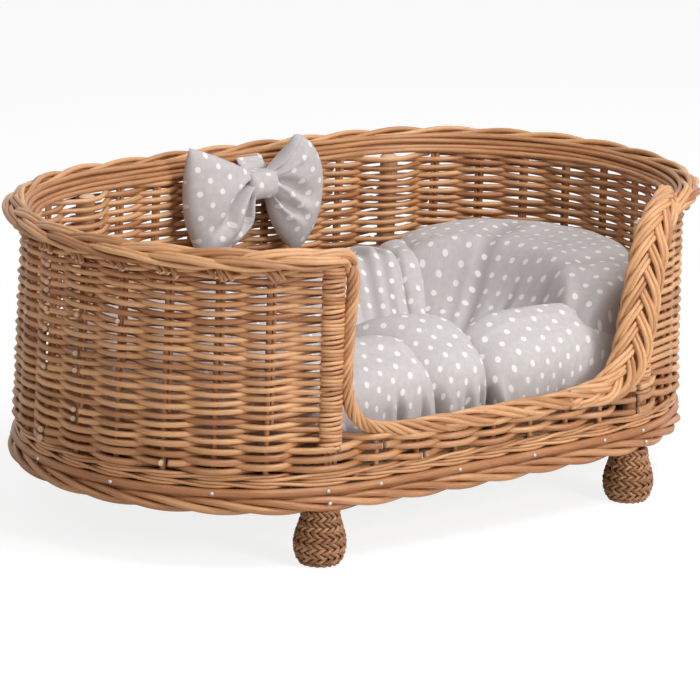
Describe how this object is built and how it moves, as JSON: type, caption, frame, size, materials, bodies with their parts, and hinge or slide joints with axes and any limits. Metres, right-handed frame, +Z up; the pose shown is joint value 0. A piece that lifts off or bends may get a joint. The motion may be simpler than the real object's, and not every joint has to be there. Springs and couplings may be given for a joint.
{
  "type": "wicker pet bed",
  "caption": "Oval wicker pet bed on woven feet, with a low entrance in its front wall, plaited willow borders, a padded dotted cushion and a cotton bow on its back border.",
  "frame": {"origin": "on the floor under the middle of the bed's overall box", "axes": "+Z up, X along the bed's length, the entrance faces -Y"},
  "size_m": [0.7596, 0.4672, 0.3171],
  "materials": {
    "willow": "buff willow rods, satin, unvarnished",
    "peeled_willow": "peeled thick willow sticks, satin",
    "foot_willow": "thin browner willow, closely woven",
    "chipboard": "raw chipboard, mottled edge",
    "nail_steel": "small flat-headed nails",
    "dotted_cotton": "grey cotton printed with small white dots",
    "fibre_filling": "loose white polyester fibre"
  },
  "bodies": {
    "basket": {"base_board": "chipboard", "base_hoop": "willow", "hoop_nails": "nail_steel", "side_stakes": "willow", "sill_stakes": "willow", "front_left_post": "peeled_willow", "front_right_post": "peeled_willow", "back_left_post": "peeled_willow", "back_right_post": "peeled_willow", "bottom_wale": "willow", "lower_weave": "willow", "side_weave": "willow", "foot_border": "willow", "top_border": "willow", "entrance_rope": "willow", "entrance_braid": "willow", "front_left_foot": "foot_willow", "front_right_foot": "foot_willow", "back_left_foot": "foot_willow", "back_right_foot": "foot_willow"},
    "cushion": {"cushion_cover": "dotted_cotton", "cushion_filling": "fibre_filling"},
    "bow": {"bow_left_wing": "dotted_cotton", "bow_right_wing": "dotted_cotton", "bow_knot": "dotted_cotton", "bow_strap": "dotted_cotton"}
  },
  "joints": [
    {"name": "cushion_lift", "type": "slide", "parent": "basket", "child": "cushion", "axis": [0, 0, 1], "range_m": [0, 0.34]},
    {"name": "bow_swing", "type": "hinge", "parent": "basket", "child": "bow", "pos_m": [0.02, 0.2195, 0.2954], "axis": [-1, 0, 0], "range_deg": [0, 75]}
  ]
}
